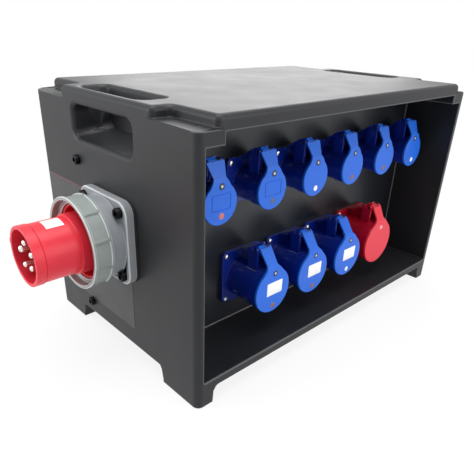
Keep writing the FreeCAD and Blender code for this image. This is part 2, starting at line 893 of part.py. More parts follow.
def inlet_screws():
    length = inlet_flange_thickness + inlet_gasket_thickness + wall
    head = (inlet_screw_head_radius, inlet_screw_head_height)
    screws = []
    for seat in inlet_screw_places(left_x - flange_face):
        screws.append(cap_screw(inlet_screw_radius, *head, seat, along_x, length))
    return Part.makeCompound(screws)


def window_opening(y0, y1):
    """The slot that the noses of the devices reach through."""
    low = device_z - opening_half_height
    return block(-opening_half_width, opening_half_width, y0, y1, low, low + 2 * opening_half_height)


def window_slab(inset, y0, y1):
    """A rounded block with the outline of the rear window."""
    half_width = window_half_width - inset
    half_height = window_half_height - inset
    corners = (-half_width, half_width, y0, y1, device_z - half_height, device_z + half_height)
    return rounded_block(window_radius - inset, along_y, *corners)


def window_hinge_starts(length):
    """The left ends of two hinge pieces of a length, one on each side of the middle."""
    middles = (-window_hinge_spacing / 2, window_hinge_spacing / 2)
    return [Vector(x - length / 2, window_hinge_y, window_hinge_z) for x in middles]


def window_knuckles(length, y0, y1):
    """Round knuckles on the window's hinge line, each on a leg down to the piece that carries it."""
    pieces = []
    foot_z = device_z + window_half_height - window_wall
    for start in window_hinge_starts(length):
        barrel = rod(window_knuckle_radius, start, along_x, length)
        leg = block(start.x, start.x + length, y0, y1, foot_z, window_hinge_z)
        pieces.append(barrel.fuse(leg))
    return pieces


def window_pin_holes(length):
    radius = window_hinge_radius + hinge_running_gap
    return [rod(radius, start, along_x, length) for start in window_hinge_starts(length)]


def window_frame():
    """The rear window's frame on the panel, with a pair of ears at each hinge."""
    frame = window_slab(0, rear_panel_y, window_hinge_y)
    span = window_knuckle_length + 2 * (window_ear + window_gap)
    ears = window_knuckles(span, rear_panel_y, window_hinge_y)
    room = []
    room_length = window_knuckle_length + 2 * window_gap
    reach = 2 * window_knuckle_radius
    low = device_z + window_half_height
    for start in window_hinge_starts(room_length):
        sides = (rear_panel_y, window_hinge_y + reach, low, window_hinge_z + reach)
        room.append(block(start.x, start.x + room_length, *sides))
    frame = frame.fuse(ears).cut(room + window_pin_holes(span))
    return frame.cut(window_opening(rear_panel_y, window_hinge_y))


def window_cover():
    """The clear cover: a shallow tray that hangs from its two knuckles."""
    near_y = window_hinge_y + window_gap
    far_y = near_y + window_depth
    cover = window_slab(0, near_y, far_y)
    knuckles = window_knuckles(window_knuckle_length, near_y, near_y + window_knuckle_radius)
    cover = cover.fuse(knuckles).cut(window_pin_holes(window_knuckle_length))
    return cover.cut(window_slab(window_wall, near_y, far_y - window_wall))


def window_hinge_pins():
    length = window_knuckle_length + 2 * (window_ear + window_gap)
    starts = window_hinge_starts(length)
    return Part.makeCompound([rod(window_hinge_radius, start, along_x, length) for start in starts])


def module_x(index):
    """The left side of a device module, counted from the left end of the row."""
    return -device_row_width / 2 + module_gap / 2 + index * device_pitch


def lever_slot(index):
    """The slot in a device's nose that its lever works in."""
    half_width = lever_width / 2 + lever_gap
    half_height = lever_hub_radius + lever_gap + lever_swing_room / 2
    middle = module_x(index) + module_width / 2
    back_y = device_front_y - lever_slot_depth
    sides = (back_y, device_front_y, device_z - half_height, device_z + half_height)
    return block(middle - half_width, middle + half_width, *sides)


def device_body(first, modules):
    """A rail-mounted device: full height behind the panel, with a narrower nose through it."""
    x = module_x(first)
    width = modules * device_pitch - module_gap
    outline = []
    steps = [
        (rail_y, device_height),
        (device_shoulder_y, device_height),
        (device_shoulder_y, nose_height),
        (device_front_y, nose_height),
    ]
    for side in (-1, 1):
        outline += [Vector(x, y, device_z + side * height / 2) for y, height in steps[::-side]]
    return prism(outline, along_x * width)


def breaker_body(first, modules):
    """A circuit breaker, with a lever slot in each of its poles."""
    return device_body(first, modules).cut([lever_slot(first + i) for i in range(modules)])


def lever(first, modules):
    """A lever at its upper end of travel: a hub and an arm in each pole, joined by one bar at the tip."""
    heights = (device_z - lever_height / 2, device_z + lever_height / 2)
    starts = [module_x(first + i) + (module_width - lever_width) / 2 for i in range(modules)]
    end = starts[-1] + lever_width
    hubs = [rod(lever_hub_radius, Vector(x, lever_axis_y, device_z), along_x, lever_width) for x in starts]
    arms = [block(x, x + lever_width, lever_axis_y, lever_tip_y, *heights) for x in starts]
    bar = block(starts[0], end, lever_tip_y - lever_reach / 2, lever_tip_y, *heights)
    handle = bar.fuse(arms).rotate(Vector(0, lever_axis_y, device_z), along_x, lever_rest_angle)
    return handle.fuse(hubs).removeSplitter()


def button_pocket(grow):
    """The test button's place on the residual current device, larger all round by a gap."""
    middle = module_x(rcd_module_count - 1) + module_width / 2
    half = button_size / 2 + grow
    z = device_z - button_drop
    return (middle - half, middle + half, z - half, z + half)


def rcd_body():
    x0, x1, z0, z1 = button_pocket(button_gap)
    pocket = block(x0, x1, device_front_y - button_depth, device_front_y, z0, z1)
    return device_body(0, rcd_module_count).cut([lever_slot(0), pocket])


def rcd_test_button():
    """The test button, which stands proud by as much as the room left behind it."""
    x0, x1, z0, z1 = button_pocket(0)
    back_y = device_front_y - button_depth + button_proud
    return block(x0, x1, back_y, device_front_y + button_proud, z0, z1)


def din_rail():
    """The hat-shaped rail behind the devices."""
    half = rail_height / 2
    inner = half - rail_lip
    back = rail_y - rail_depth
    sheet = rail_thickness
    near_side = [(rail_y, half), (rail_y, inner - sheet), (back + sheet, inner - sheet)]
    far_side = [(rail_y - sheet, half), (rail_y - sheet, inner), (back, inner)]
    loop = near_side + [(y, -z) for y, z in near_side[::-1]]
    loop += [(y, -z) for y, z in far_side] + far_side[::-1]
    x = -device_row_width / 2 - rail_overhang
    points = [Vector(x, y, device_z + z) for y, z in loop]
    return prism(points, along_x * (device_row_width + 2 * rail_overhang))


def rail_brackets():
    """Two bent strips that hold the ends of the rail off the rear panel."""
    near_x = -device_row_width / 2 - bracket_gap
    web_x = near_x - bracket_thickness
    far_x = near_x - bracket_foot
    corners = [
        (near_x, rail_y),
        (far_x, rail_y),
        (far_x, rail_y + bracket_thickness),
        (web_x, rail_y + bracket_thickness),
        (web_x, rear_panel_front_y - bracket_thickness),
        (far_x, rear_panel_front_y - bracket_thickness),
        (far_x, rear_panel_front_y),
        (near_x, rear_panel_front_y),
    ]
    low = device_z - bracket_height / 2

    def bracket():
        return prism([Vector(x, y, low) for x, y in corners], along_z * bracket_height)

    return Part.makeCompound(both_ends(bracket))


def wiring_loom():
    """The sleeved bundle from the inlet, with a branch to every socket and every device."""
    inlet_end = left_x + inlet_back_depth
    trunk = rod(loom_radius, Vector(inlet_end, loom_y, loom_z), along_x, loom_end - inlet_end)
    chamber_back = socket_place(socket_gasket_thickness) + terminal_chamber_depth
    device_low = device_z - device_height / 2
    device_middle = (rail_y + device_shoulder_y) / 2
    targets = [Vector(x, chamber_back, z) for _, x, z in sockets]
    for index in range(module_count):
        targets.append(Vector(module_x(index) + module_width / 2, device_middle, device_low))
    branches = []
    for target in targets:
        hub = Vector(target.x, loom_y, loom_z)
        run = target - hub
        branches.append(rod(loom_branch_radius, hub, run, run.Length + loom_branch_overrun))
    ahead = block(left_x, right_x, front_y, chamber_back, foot_height, top_z)
    above = block(left_x, right_x, rail_y - rail_depth, rear_y, device_low, top_z)
    return trunk.fuse(branches).cut([ahead, above])


def main():
    os.makedirs("parts", exist_ok=True)
    first_breaker = rcd_module_count + breaker_4p_module_count
    breakers = range(first_breaker, module_count)
    nodes = {
        "case_shell": case_shell(),
        "front_panel": front_panel(),
        "rear_panel": rear_panel(),
        "side_screws": side_screws(),
        "lid_hinge_pins": Part.makeCompound(at_sockets(hinge_pin)),
        "lid_springs": Part.makeCompound(at_sockets(lid_spring)),
        "socket_inserts": Part.makeCompound(at_sockets(socket_insert)),
        "socket_contacts": Part.makeCompound(at_sockets(socket_contact)),
        "socket_gaskets": Part.makeCompound(at_sockets(socket_gasket)),
        "socket_screws": Part.makeCompound(at_sockets(socket_screw_set)),
        "inlet_gasket": inlet_gasket(),
        "inlet_housing": inlet_housing(),
        "inlet_ring": inlet_ring(),
        "inlet_shroud": inlet_shroud(),
        "inlet_carrier": inlet_carrier(),
        "inlet_pins": inlet_pins(),
        "inlet_screws": inlet_screws(),
        "window_frame": window_frame(),
        "window_cover": window_cover(),
        "window_hinge_pins": window_hinge_pins(),
        "rcd_body": rcd_body(),
        "rcd_lever": lever(0, 1),
        "rcd_test_button": rcd_test_button(),
        "breaker_4p_body": breaker_body(rcd_module_count, breaker_4p_module_count),
        "breaker_4p_lever": lever(rcd_module_count, breaker_4p_module_count),
        "breaker_bodies": Part.makeCompound([breaker_body(i, 1) for i in breakers]),
        "din_rail": din_rail(),
        "rail_brackets": rail_brackets(),
        "wiring_loom": wiring_loom(),
    }
    for number, index in enumerate(breakers, 1):
        nodes["breaker_lever_%d" % number] = lever(index, 1)
    for number, (body, cover) in enumerate(zip(at_sockets(socket_body), at_sockets(lid)), 1):
        nodes["socket_body_%d" % number] = body
        nodes["socket_lid_%d" % number] = cover
    for name, shape in nodes.items():
        shape.exportStep("parts/%s.step" % name)


main()
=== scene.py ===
import json
import math

import bmesh
import bpy
from mathutils import Matrix, Vector
from mathutils.bvhtree import BVHTree


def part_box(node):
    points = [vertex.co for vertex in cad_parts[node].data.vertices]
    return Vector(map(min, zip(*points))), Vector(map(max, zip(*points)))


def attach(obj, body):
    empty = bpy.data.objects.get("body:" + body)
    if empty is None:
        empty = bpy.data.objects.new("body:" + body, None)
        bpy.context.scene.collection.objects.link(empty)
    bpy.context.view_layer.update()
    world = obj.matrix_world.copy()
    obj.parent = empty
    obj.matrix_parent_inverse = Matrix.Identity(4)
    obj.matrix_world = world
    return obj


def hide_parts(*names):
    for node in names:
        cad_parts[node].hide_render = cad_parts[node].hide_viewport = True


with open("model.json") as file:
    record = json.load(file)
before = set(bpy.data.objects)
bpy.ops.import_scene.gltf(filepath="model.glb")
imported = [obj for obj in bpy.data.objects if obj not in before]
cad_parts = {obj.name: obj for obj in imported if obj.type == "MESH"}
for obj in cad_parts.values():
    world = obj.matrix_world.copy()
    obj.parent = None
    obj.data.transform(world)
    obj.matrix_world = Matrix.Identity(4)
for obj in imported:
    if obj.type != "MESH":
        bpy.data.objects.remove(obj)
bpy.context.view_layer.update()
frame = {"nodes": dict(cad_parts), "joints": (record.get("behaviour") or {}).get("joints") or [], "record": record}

# A portable power box: moulded black case, blue and red sockets with sprung lids, a red pin inlet.
# Sizes are in millimetres, in the frame of the solids, and turn to metres through mm.
mm = 0.001

# Camera, solved from the corners of the case
camera_place = (-604.9, -558.7, 457.5)
camera_azimuth = -43.74
camera_elevation = 26.79
camera_roll = 2.0
camera_lens = 36.93
camera_shift = (0.0135, 0.0606)

# Broken edges: points closer than the weld distance are one, faces that turn less than the flat angle are
# one, and an edge is broken where it is sharp and has so many widths of face beside it. A broken edge may
# leave the old skin by a share of its width.
weld_distance = 0.001
flat_angle = math.radians(2)
sharp_angle = math.radians(50)
smooth_angle = math.radians(50)
room_beside_edge = 2.5
stray_share = 0.5

# Lids: the neck, its hinge knuckle and the room beside the knuckle for the spring
socket_count = 10
small_lids = range(1, 7)
framed_lids = (1, 2)
stickered_lids = (7, 8, 9)
red_lid = 10
neck_width = 20.0
knuckle_radius = 5.0
spring_room = 6.4

# What sits on the lids, with places to the right of and above a lid's middle
small_mark_place = (1.0, 22.2)
large_mark_place = (2.5, 27.5)
mark_ring_radius = 4.3
mark_ring_rise = 0.3
mark_dot_radius = 1.8
mark_dot_rise = 0.15
small_dot_place = (1.2, -15.5)
large_dot_place = (1.4, -24.6)
paper_dot_radius = 4.2
paper_dot_thickness = 0.12
frame_place = (1.0, 2.0)
frame_rise = 0.5
sticker_place = (3.2, 3.7)
sticker_width = 31.4
sticker_height = 20.4
sticker_thickness = 0.15
rib_angles = (30, 80)
rib_width = 1.8
rib_rise = 0.7
rib_corner = 0.6
rib_end_gap = 0.6

# The share of a thin patch's thickness that its broken top edge takes
patch_edge_share = 0.3

# Left end
wall_x = -300.0
inlet_y = -7.5
inlet_z = 195.0
inlet_flange_half = 58.0
shroud_radius = 37.5
pin_tip_reach = 4.5
label_front = -47.0
label_rear = 176.0
label_low = 56.5
label_high = 239.5
label_thickness = 0.25
label_gap = 1.0
label_line_width = 1.6

# Screws
screw_sides = 36
screw_shank_radius = 3.0
hexagon_half_flat = 3.2
side_head_height = 6.0
inlet_head_height = 7.0

# Front panel and the row of devices at the rear
panel_half_width = 288.0
panel_low = 39.5
panel_high = 355.0
panel_y = -89.0
panel_corner = 3.0
bead_size = 1.6
breaker_count = 9
indicator_drop = 15.0
indicator_width = 5.0
indicator_height = 3.0

# Most of a soft random pattern lies between these two values
soft_low = 0.3
soft_high = 0.7

# Studio, in metres: the floor shows the part's shadow near it and turns white further out
floor_reach = 40.0
shadow_reach = 0.3
white_reach = 0.65
shadow_whiteness = 0.85
surround_strength = 0.3


def linear(colour):
    """A colour written as sRGB hex, as linear red, green, blue and alpha."""
    values = [int(colour[i:i + 2], 16) / 255 for i in (0, 2, 4)]
    return [v / 12.92 if v <= 0.04045 else ((v + 0.055) / 1.055) ** 2.4 for v in values] + [1.0]


def per_mm(size):
    """The texture scale whose pattern repeats about every so many millimetres."""
    return 1 / (size * mm)


def add(tree, kind, inputs=None, **settings):
    """Adds a shader node with its settings; each input is a plain value or another node's output."""
    node = tree.nodes.new(kind)
    for name, value in settings.items():
        setattr(node, name, value)
    for name, value in (inputs or {}).items():
        if isinstance(value, bpy.types.NodeSocket):
            tree.links.new(value, node.inputs[name])
        else:
            node.inputs[name].default_value = value
    return node


def new_material(name, **sockets):
    """A material with a principled shader, its constant sockets set, and the piece's own coordinates."""
    material = bpy.data.materials.new(name)
    material.use_nodes = True
    tree = material.node_tree
    tree.nodes.clear()
    shader = add(tree, "ShaderNodeBsdfPrincipled")
    for socket, value in sockets.items():
        shader.inputs[socket.replace("_", " ")].default_value = value
    add(tree, "ShaderNodeOutputMaterial", {"Surface": shader.outputs[0]})
    place = add(tree, "ShaderNodeTexCoord").outputs["Object"]
    return material, tree, shader, place


def pattern(tree, place, kind, size, output="Fac", **inputs):
    """A texture of some kind, with its pattern at a real size in millimetres."""
    inputs.update(Vector=place, Scale=per_mm(size))
    return add(tree, "ShaderNodeTex" + kind, inputs).outputs[output]


def dress(tree, shader, share, roughness, relief, colours=None):
    """Lets the roughness and the colour wander between two values each, by a pattern's share, and stacks
    bumps, each given as a height field and its depth in millimetres."""
    low, high = roughness
    inputs = {"Value": share, "From Min": soft_low, "From Max": soft_high, "To Min": low, "To Max": high}
    spread = add(tree, "ShaderNodeMapRange", inputs)
    tree.links.new(spread.outputs[0], shader.inputs["Roughness"])
    if colours:
        first, second = [linear(colour) for colour in colours]
        tone = add(tree, "ShaderNodeMix", {0: share, 6: first, 7: second}, data_type="RGBA")
        tree.links.new(tone.outputs[2], shader.inputs["Base Color"])
    normal = None
    for height, depth in relief:
        inputs = {"Height": height, "Distance": depth * mm, "Strength": 1.0}
        if normal:
            inputs["Normal"] = normal
        normal = add(tree, "ShaderNodeBump", inputs).outputs[0]
    tree.links.new(normal, shader.inputs["Normal"])


def rotomoulded_polyethylene(name, first, second):
    # Polyethylene fused in a turning mould: charcoal with a waxy sheen. The wall has slow waves along its
    # length and the skin a fine grain, drawn coarse enough to show. A paler copy on the broken edges stands
    # for rubbing and a painted highlight.
    material, tree, shader, place = new_material(name, IOR=1.51, Specular_IOR_Level=0.33)
    cloud = pattern(tree, place, "Noise", 60, Detail=4.0)
    grain = pattern(tree, place, "Noise", 2.5, Detail=3.0)
    stretched = add(tree, "ShaderNodeMapping", {"Vector": place, "Scale": (0.35, 1.0, 1.0)}).outputs[0]
    waves = pattern(tree, stretched, "Noise", 45, Detail=1.0)
    dress(tree, shader, cloud, (0.43, 0.49), [(waves, 0.4), (grain, 0.05)], (first, second))
    return material


def styrene_sheet():
    # Extruded styrene sheet: near black and satin, with a faint grain from the rollers.
    material, tree, shader, place = new_material("styrene_sheet", IOR=1.59)
    grain = pattern(tree, place, "Noise", 3, Detail=3.0)
    cloud = pattern(tree, place, "Noise", 90, Detail=2.0)
    dress(tree, shader, cloud, (0.3, 0.42), [(grain, 0.03)], ("0b0f16", "10151d"))
    return material


def powder_coat():
    # Black polyester powder baked on steel: satin, with the soft ripple that the powder flows out to.
    material, tree, shader, place = new_material("powder_coat", IOR=1.5)
    ripple = pattern(tree, place, "Noise", 2.2, Detail=1.0)
    cloud = pattern(tree, place, "Noise", 80, Detail=2.0)
    dress(tree, shader, cloud, (0.4, 0.5), [(ripple, 0.06)], ("1b1c1e", "222325"))
    return material


def moulded_polyamide(name, first, second, low, high, coat=0.0):
    # Glass-filled polyamide out of a spark-eroded mould: deep even colour, with flow marks that shift it
    # slightly and a fine pitted skin, drawn coarse enough to show. Polished moulds give glossier ones.
    material, tree, shader, place = new_material(
        name, IOR=1.53, Specular_IOR_Level=0.38, Coat_Weight=coat, Coat_Roughness=0.08)
    flow = pattern(tree, place, "Noise", 22, Detail=3.0)
    pits = pattern(tree, place, "Noise", 1.2, Detail=2.0)
    dress(tree, shader, flow, (low, high), [(pits, 0.02)], (first, second))
    return material


def plated_metal(name, first, second, low, high, line_size):
    # Turned metal under a thin bright plate: small clouds of dulled plate, and fine tool lines, drawn
    # twice as coarse as they are so that they show. A wave texture has about three bands to its size.
    coarser = 2
    bands = 3
    material, tree, shader, place = new_material(name, Metallic=1.0)
    cloud = pattern(tree, place, "Noise", 6, Detail=3.0)
    lines = pattern(tree, place, "Wave", line_size * coarser * bands, Distortion=1.0)
    dress(tree, shader, cloud, (low, high), [(lines, 0.01)], (first, second))
    return material


def blackened_steel():
    # Steel blackened in hot salts and oiled: almost black, with a soft metal glint.
    material, tree, shader, place = new_material("blackened_steel", Metallic=1.0)
    cloud = pattern(tree, place, "Noise", 4, Detail=3.0)
    dress(tree, shader, cloud, (0.3, 0.45), [(cloud, 0.03)], ("18181a", "242426"))
    return material


def rubber_sheet():
    # Die-cut rubber: black and dull, with a fine dusty bloom.
    material, tree, shader, place = new_material("rubber_sheet", IOR=1.52)
    bloom = pattern(tree, place, "Noise", 8, Detail=5.0)
    dress(tree, shader, bloom, (0.7, 0.85), [(bloom, 0.04)], ("121213", "1f1f20"))
    return material


def silicone_bead():
    # Smoothed silicone sealant: dark grey and rubbery, uneven where a finger drew it out.
    material, tree, shader, place = new_material("silicone_bead", IOR=1.41)
    drawn = pattern(tree, place, "Noise", 12, Detail=3.0)
    dress(tree, shader, drawn, (0.35, 0.5), [(drawn, 0.2)], ("4c4c4a", "5e5d5a"))
    return material


def clear_polycarbonate():
    # Clear polycarbonate: almost colourless with a smoky tint, mirror smooth with slow moulding ripples.
    material, tree, shader, place = new_material(
        "clear_polycarbonate", IOR=1.585, Transmission_Weight=1.0, Base_Color=linear("dfe6ea"))
    haze = pattern(tree, place, "Noise", 30, Detail=2.0)
    dress(tree, shader, haze, (0.02, 0.06), [(haze, 0.05)])
    return material


def braided_sleeve():
    # Braided polyester sleeve: black, with the crossing of its strands as small cells.
    material, tree, shader, place = new_material("braided_sleeve", IOR=1.5)
    strands = pattern(tree, place, "Voronoi", 3, "Distance")
    dress(tree, shader, strands, (0.5, 0.7), [(strands, 0.4)], ("2a2a2c", "0d0d0e"))
    return material


def coated_paper(name, first, second):
    # Coated sticker paper: smooth and slightly glossy, with faint fibre clouds.
    material, tree, shader, place = new_material(name, IOR=1.5)
    fibre = pattern(tree, place, "Noise", 2, Detail=4.0)
    dress(tree, shader, fibre, (0.35, 0.5), [(fibre, 0.01)], (first, second))
    return material


def vinyl_film(name, first, second):
    # Calendered vinyl film stuck on the wall: matt, slightly paler than the case, with a soft emboss.
    material, tree, shader, place = new_material(name, IOR=1.53)
    emboss = pattern(tree, place, "Noise", 3, Detail=2.0)
    cloud = pattern(tree, place, "Noise", 50, Detail=2.0)
    dress(tree, shader, cloud, (0.45, 0.55), [(emboss, 0.03)], (first, second))
    return material


finishes = {
    "moulded_case": rotomoulded_polyethylene("rotomoulded_polyethylene", "17181b", "1e1f22"),
    "black_sheet": styrene_sheet(),
    "black_coated_metal": powder_coat(),
    "black_screws": blackened_steel(),
    "zinc_screws": plated_metal("zinc_plate", "c4c8cc", "dadcdd", 0.2, 0.32, 0.4),
    "steel": plated_metal("drawn_steel", "3c3d3f", "4a4b4d", 0.4, 0.55, 0.3),
    "insert_plastic": moulded_polyamide("grey_polyamide_insert", "54565a", "5e6064", 0.4, 0.55),
    "brass": plated_metal("turned_brass", "c9a25c", "d9b874", 0.25, 0.38, 0.3),
    "black_rubber": rubber_sheet(),
    "grey_plastic": moulded_polyamide("grey_polyamide_housing", "8a8e93", "969a9f", 0.36, 0.48),
    "ring_plastic": moulded_polyamide("grey_polyamide_ring", "848c8a", "919896", 0.34, 0.46),
    "red_shroud": moulded_polyamide("red_polyamide_shroud", "ce1b2f", "d8283a", 0.34, 0.44),
    "red_carrier": moulded_polyamide("red_polyamide_carrier", "a2061f", "b00a26", 0.38, 0.5),
    "plated_pins": plated_metal("nickel_plate", "dad8d2", "e8e6e1", 0.14, 0.24, 0.3),
    # The socket bodies are darker blue and red than their lids: partly their own deeper colour, partly painted
    # shade
    "blue_socket": moulded_polyamide("deep_blue_polyamide_body_painted_shade", "051e7c", "082688", 0.2, 0.28, 0.3),
    "blue_lid": moulded_polyamide("blue_polyamide_lid", "0a5ccc", "1064d6", 0.36, 0.46),
    "red_socket": moulded_polyamide("deep_red_polyamide_body_painted_shade", "a80820", "b60c28", 0.2, 0.28, 0.3),
    "red_lid": moulded_polyamide("red_polyamide_lid", "d62136", "de2c40", 0.36, 0.46),
    "black_frame": moulded_polyamide("black_polyamide_frame", "1e1f21", "27282a", 0.36, 0.48),
    "clear_window": clear_polycarbonate(),
    "device_plastic": moulded_polyamide("pale_polyamide_device", "cfcfca", "d9d9d4", 0.4, 0.5),
    "lever_plastic": moulded_polyamide("black_polyamide_lever", "151517", "1e1e20", 0.34, 0.46),
    "button_plastic": moulded_polyamide("yellow_polyamide_button", "d0b023", "dcbc30", 0.36, 0.46),
    "zinc_rail": plated_metal("passivated_zinc", "b0b3b0", "c3c5bf", 0.3, 0.45, 0.8),
    "loom_sleeve": braided_sleeve(),
}
# Paler polyethylene on the case's convex broken edges: partly rubbing, partly a painted highlight along them
rubbed_and_highlit_edge = rotomoulded_polyethylene("rubbed_and_highlit_polyethylene", "48494a", "565757")
# Pale grey on the inlet's convex broken edges: mostly a painted highlight on the rims, with some rubbing
painted_highlight_edge = moulded_polyamide("painted_highlight_polyamide_edge", "bdc1c2", "c9cccd", 0.3, 0.4)
white_paper = coated_paper("white_sticker_paper", "eceeee", "f6f7f7")
label_film = vinyl_film("grey_vinyl_film", "2b2c2e", "333436")
line_film = vinyl_film("red_vinyl_line", "5e1c24", "6a222a")
sealant = silicone_bead()
dot_papers = {
    "coral": coated_paper("coral_dot_paper", "b8685f", "c27268"),
    "grey": coated_paper("grey_dot_paper", "46546c", "526078"),
    "white": coated_paper("white_dot_paper", "e4e8ea", "eff2f3"),
    "rust": coated_paper("rust_dot_paper", "80544e", "8c5e58"),
}
dot_of_lid = {
    1: "coral", 2: "grey", 3: "white", 4: "rust", 5: "rust", 6: "white", 7: "rust", 8: "rust", 9: "white",
}
mark_ring = moulded_polyamide("dark_mark_ring", "22242a", "2c2e34", 0.4, 0.5)
red_mark_ring = moulded_polyamide("red_mark_ring", "f08a8c", "f49698", 0.4, 0.5)
mark_dot = moulded_polyamide("pale_mark_dot", "c8ccd4", "d6dae0", 0.35, 0.45)
indicator_film = coated_paper("green_indicator", "2f8a4a", "3a9656")

slot_of_node = {part["node"]: part["material_slot"] for part in frame["record"]["subparts"]}
body_of_node = {}
for body_name, members in frame["record"]["behaviour"]["bodies"].items():
    for member in members:
        body_of_node[member] = body_name
hinge_of_body = {}
for joint in frame["joints"]:
    if joint["type"] == "hinge":
        hinge_of_body[joint["child"]] = Vector(joint["pos_m"]) / mm


def welded_copy(node):
    """The mesh of a solid as loose work, with its doubled points welded."""
    work = bmesh.new()
    work.from_mesh(frame["nodes"][node].data)
    bmesh.ops.remove_doubles(work, verts=work.verts, dist=weld_distance * mm)
    return work


def solid_boxes(node):
    """The lowest and highest corner, in millimetres, of each separate solid in a node."""
    work = welded_copy(node)
    work.verts.index_update()
    seen = set()
    boxes = []
    for start in work.verts:
        if start.index in seen:
            continue
        seen.add(start.index)
        island = [start]
        for vertex in island:
            for edge in vertex.link_edges:
                other = edge.other_vert(vertex)
                if other.index not in seen:
                    seen.add(other.index)
                    island.append(other)
        places = [vertex.co / mm for vertex in island]
        low = Vector([min(place[i] for place in places) for i in range(3)])
        high = Vector([max(place[i] for place in places) for i in range(3)])
        boxes.append((low, high))
    work.free()
    return boxes


class Lid:
    """A lid's places in millimetres, read from its solid and its hinge."""

    def __init__(self, number):
        self.number = number
        self.node = "socket_lid_%d" % number
        self.slot = slot_of_node[self.node]
        self.finish = finishes[self.slot]
        self.small = number in small_lids
        low, high = [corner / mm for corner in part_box(self.node)]
        self.hinge = hinge_of_body[self.node]
        self.radius = (high.x - low.x) / 2
        self.middle = Vector((self.hinge.x, low.y, low.z + self.radius))


lids = [Lid(number) for number in range(1, socket_count + 1)]


def finished_piece(name, work, body, material):
    """Turns mesh work into a smooth-shaded piece that rides on a body."""
    bmesh.ops.recalc_face_normals(work, faces=work.faces)
    mesh = bpy.data.meshes.new(name)
    work.to_mesh(mesh)
    work.free()
    mesh.polygons.foreach_set("use_smooth", [True] * len(mesh.polygons))
    mesh.set_sharp_from_angle(angle=smooth_angle)
    mesh.materials.append(material)
    piece = bpy.data.objects.new(name, mesh)
    bpy.context.scene.collection.objects.link(piece)
    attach(piece, body)
    return piece


def stand_in(node, work):
    """Makes mesh work the finished piece that is shown for a solid."""
    slot = slot_of_node[node]
    piece = finished_piece(node + "_finished", work, body_of_node[node], finishes[slot])
    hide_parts(node)
    return piece


def breakable(edge, width):
    """Whether an edge is sharp, with faces beside it that leave room to break it."""
    if not edge.is_manifold or edge.calc_face_angle(0) < sharp_angle:
        return False
    room = min(face.calc_area() for face in edge.link_faces) / edge.calc_length()
    return room > room_beside_edge * width * mm


def settle_strayed(work, skin, limit):
    """Welds the points that a bevel threw off the old skin to the nearest neighbour that stayed on it."""
    strayed = [vertex for vertex in work.verts if skin.find_nearest(vertex.co)[3] > limit]
    thrown = set(strayed)
    joins = {}
    for vertex in strayed:
        beside = [edge.other_vert(vertex) for edge in vertex.link_edges]
        settled = [other for other in beside if other not in thrown]
        if settled:
            joins[vertex] = min(settled, key=lambda other: (other.co - vertex.co).length)
    bmesh.ops.weld_verts(work, targetmap=joins)


def spare_inner_corners(work, skin):
    """Takes the paler edge colour, rubbing and painted highlight, off the broken edges that fill a corner."""
    for face in work.faces:
        middle = face.calc_center_median()
        nearest, normal = skin.find_nearest(middle)[:2]
        if (middle - nearest).dot(normal) > 0:
            face.material_index = 0


def broken_edges(node, width, segments=2, edge_wear_and_highlight=None):
    """Shows a solid with its sharp edges broken, as the mould leaves them, and, where given, a paler colour
    on its convex broken edges that stands for rubbing and a painted highlight."""
    work = welded_copy(node)
    bmesh.ops.dissolve_limit(work, angle_limit=flat_angle, verts=work.verts, edges=work.edges)
    work.normal_update()
    skin = BVHTree.FromBMesh(work)
    edges = [edge for edge in work.edges if breakable(edge, width)]
    bmesh.ops.bevel(
        work, geom=edges, offset=width * mm, segments=segments, profile=0.5, affect="EDGES",
        material=1 if edge_wear_and_highlight else -1)
    if edge_wear_and_highlight:
        spare_inner_corners(work, skin)
    settle_strayed(work, skin, stray_share * width * mm)
    piece = stand_in(node, work)
    if edge_wear_and_highlight:
        piece.data.materials.append(edge_wear_and_highlight)
    shading = piece.modifiers.new("even_shading", "WEIGHTED_NORMAL")
    shading.keep_sharp = True


def circle(radius, count=32):
    """Points of a circle."""
    turns = [2 * math.pi * i / count for i in range(count)]
    return [(radius * math.cos(a), radius * math.sin(a)) for a in turns]


def hexagon(flat, count=screw_sides):
    """Points round a hexagon of that half width across its flats, at even turns."""
    sixth = math.pi / 3
    points = []
    for i in range(count):
        turn = 2 * math.pi * i / count
        radius = flat / math.cos((turn + sixth / 2) % sixth - sixth / 2)
        points.append((radius * math.cos(turn), radius * math.sin(turn)))
    return points


def cross(arm, web, count=32):
    """Points round a cross-shaped driver recess, at even turns."""
    quarter = math.pi / 2
    arm_half_turn = math.pi / 14
    points = []
    for i in range(count):
        turn = 2 * math.pi * i / count
        off_arm = abs((turn + quarter / 2) % quarter - quarter / 2)
        radius = arm if off_arm < arm_half_turn else web
        points.append((radius * math.cos(turn), radius * math.sin(turn)))
    return points


def rounded_rectangle(width, height, radius, steps=4):
    """Points of a rectangle with rounded corners, about its middle."""
    points = []
    for corner, (sx, sy) in enumerate(((1, 1), (-1, 1), (-1, -1), (1, -1))):
        middle = (sx * (width / 2 - radius), sy * (height / 2 - radius))
        for i in range(steps + 1):
            turn = math.pi / 2 * (corner + i / steps)
            points.append((middle[0] + radius * math.cos(turn), middle[1] + radius * math.sin(turn)))
    return points


def lofted(work, loops, place, closed=False):
    """Skins loops of equal count, each given as points and a height, and caps its ends or joins them."""
    rows = []
    for points, height in loops:
        rows.append([work.verts.new(place @ Vector((x, y, height))) for x, y in points])
    pairs = list(zip(rows, rows[1:]))
    if closed:
        pairs.append((rows[-1], rows[0]))
    for low, high in pairs:
        for i in range(len(low)):
            j = (i + 1) % len(low)
            work.faces.new((low[i], low[j], high[j], high[i]))
    if not closed:
        work.faces.new(rows[0][::-1])
        work.faces.new(rows[-1])


def oriented(spot, side, up, outward):
    """Places mesh work in millimetres at a spot, by the directions of its width, height and depth."""
    turn = Matrix((side, up, outward)).transposed().to_4x4()
    return Matrix.Translation(spot * mm) @ turn @ Matrix.Scale(mm, 4)


